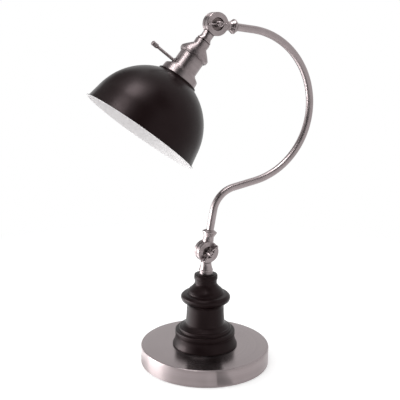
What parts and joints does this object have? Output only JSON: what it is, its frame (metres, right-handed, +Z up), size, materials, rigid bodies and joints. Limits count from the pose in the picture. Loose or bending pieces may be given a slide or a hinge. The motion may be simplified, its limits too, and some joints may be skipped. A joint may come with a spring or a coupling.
{
  "type": "desk lamp",
  "caption": "Desk lamp with a black dome shade, bowed nickel tube arm with two swivel knuckles, turned black pedestal and round brushed base.",
  "frame": {"origin": "centre of the base pad's underside", "axes": "+Z up, +X towards the back of the lamp where the arm bows out and the cord enters, -X towards the shade"},
  "size_m": [0.3171, 0.178, 0.4753],
  "materials": {
    "base_nickel": "brushed nickel plate",
    "fitting_nickel": "satin nickel plate",
    "tube_nickel": "satin nickel plate",
    "socket_nickel": "brushed nickel plate",
    "pedestal_black": "satin black lacquer",
    "shade_black": "satin black outside, white enamel inside",
    "cast_weight": "as cast",
    "plain_steel": "zinc plated",
    "felt": "black felt",
    "cord_rubber": "soft matt",
    "moulding_black": "moulded phenolic",
    "contact_brass": "stamped brass",
    "fibre": "vulcanised fibre"
  },
  "bodies": {
    "base": {"base_cover": "base_nickel", "base_weight": "cast_weight", "base_plate": "plain_steel", "base_pad": "felt", "cord_bushing": "cord_rubber", "tie_rod": "plain_steel", "tie_washer": "plain_steel", "tie_nut": "plain_steel", "pedestal": "pedestal_black", "foot_knuckle": "fitting_nickel", "lower_friction_washer": "fibre"},
    "arm": {"arm_foot_knuckle": "fitting_nickel", "arm_tube": "tube_nickel", "arm_top_knuckle": "fitting_nickel"},
    "head": {"head_knuckle": "fitting_nickel", "upper_friction_washer": "fibre", "head_nipple": "plain_steel", "socket_cap": "socket_nickel", "cap_nut": "plain_steel", "socket_shell": "socket_nickel", "shade_fitter": "socket_nickel", "shade": "shade_black", "clamp_ring": "moulding_black", "lampholder_body": "moulding_black", "thread_shell": "contact_brass", "centre_contact": "contact_brass", "key_bushing": "socket_nickel"},
    "lower_screw": {"lower_wing_screw": "fitting_nickel"},
    "upper_screw": {"upper_wing_screw": "fitting_nickel"},
    "key": {"switch_key": "socket_nickel"}
  },
  "joints": [
    {"name": "arm_tilt", "type": "hinge", "parent": "base", "child": "arm", "pos_m": [0, 0, 0.1588], "axis": [0, 1, 0], "range_deg": [-75, 75]},
    {"name": "head_tilt", "type": "hinge", "parent": "arm", "child": "head", "pos_m": [0.00751, 0, 0.46033], "axis": [0, 1, 0], "range_deg": [-50, 80]},
    {"name": "lower_screw_turn", "type": "hinge", "parent": "base", "child": "lower_screw", "pos_m": [0, -0.011, 0.1588], "axis": [0, 1, 0], "range_deg": [-270, 0]},
    {"name": "upper_screw_turn", "type": "hinge", "parent": "head", "child": "upper_screw", "pos_m": [0.00751, -0.011, 0.46033], "axis": [0, 1, 0], "range_deg": [-270, 0]},
    {"name": "switch_turn", "type": "hinge", "parent": "head", "child": "key", "pos_m": [-0.03515, 0, 0.40433], "axis": [-0.7955, 0, 0.606], "continuous": true}
  ]
}
